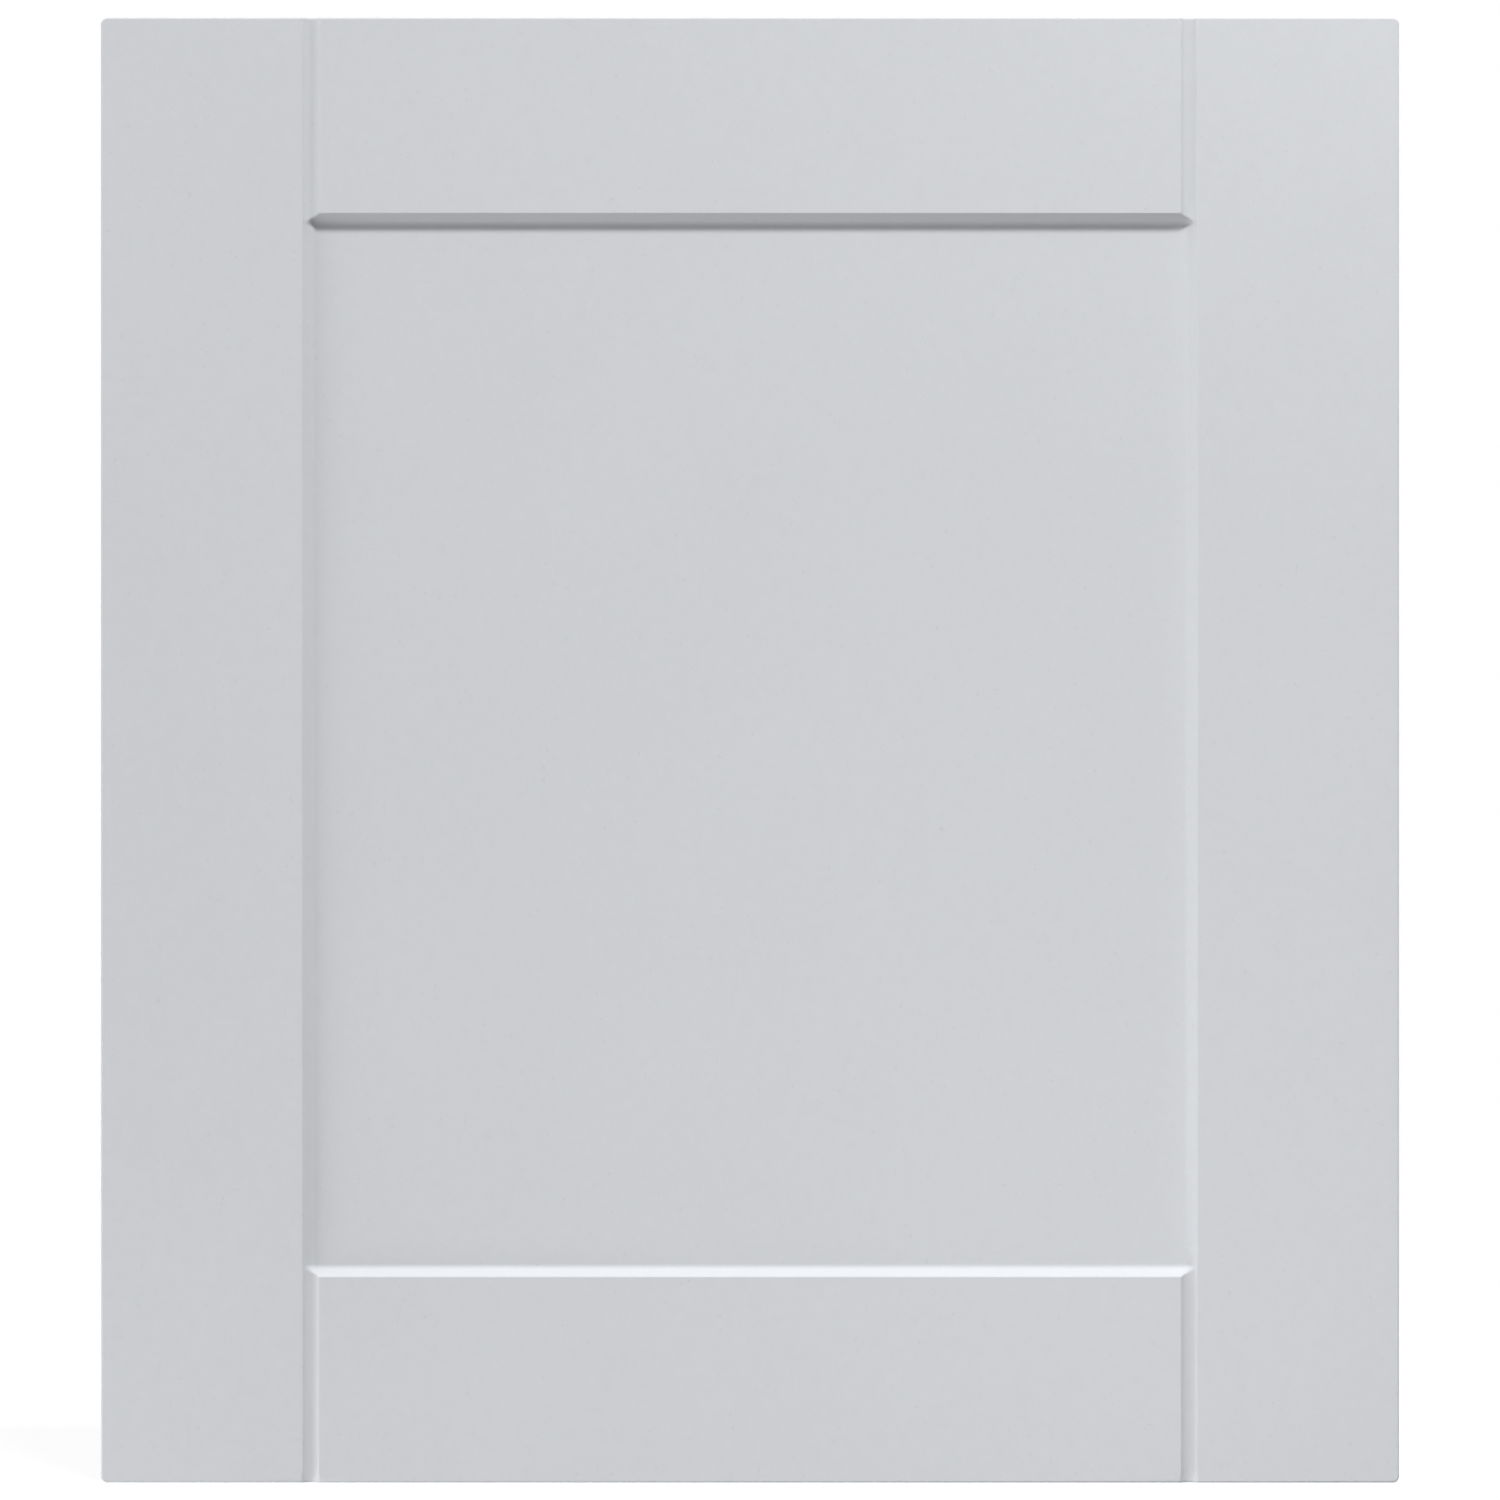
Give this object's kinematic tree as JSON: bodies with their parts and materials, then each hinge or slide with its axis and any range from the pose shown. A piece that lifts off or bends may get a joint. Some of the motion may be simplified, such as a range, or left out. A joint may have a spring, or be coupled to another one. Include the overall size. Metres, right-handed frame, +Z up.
{
  "type": "kitchen cabinet door",
  "caption": "Flat cabinet door routed from one board to look framed, with a sunk centre panel and upright joint grooves, bored at the back for concealed hinges.",
  "frame": {"origin": "centre of the flat back face", "axes": "+X to the right seen from the front, +Y out of the back face into the cabinet, +Z up the height; the routed front looks towards -Y"},
  "size_m": [0.396, 0.018, 0.447],
  "materials": {
    "wrapped_film": "smooth satin film, pale cool grey-white, wrapped over fibreboard"
  },
  "bodies": {
    "root": {"door_leaf": "wrapped_film"}
  },
  "joints": []
}
